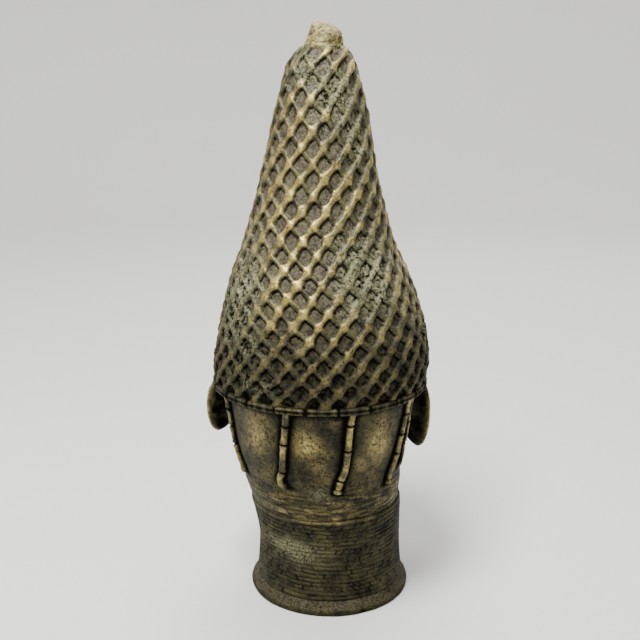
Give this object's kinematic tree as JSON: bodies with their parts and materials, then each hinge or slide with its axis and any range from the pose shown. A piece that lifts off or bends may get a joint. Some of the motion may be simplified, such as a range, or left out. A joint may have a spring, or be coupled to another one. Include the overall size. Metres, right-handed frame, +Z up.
{
  "type": "cast bronze head with a tall netted cap",
  "caption": "Hollow cast bronze head in a tall pointed cap under a bead net, with a beaded rim, hanging bead strings, a threaded collar and a flared open foot it stands on.",
  "frame": {"origin": "on the ground under the middle of the casting's bounding box", "axes": "+Z up to the cap's tip, -Y the way the face looks, +Y the nape, +X the head's left ear"},
  "size_m": [0.1836, 0.1782, 0.46],
  "materials": {
    "aged_bronze": "aged cast bronze with brown and green patina and rubbed golden edges"
  },
  "bodies": {
    "root": {"bronze_head": "aged_bronze"}
  },
  "joints": []
}
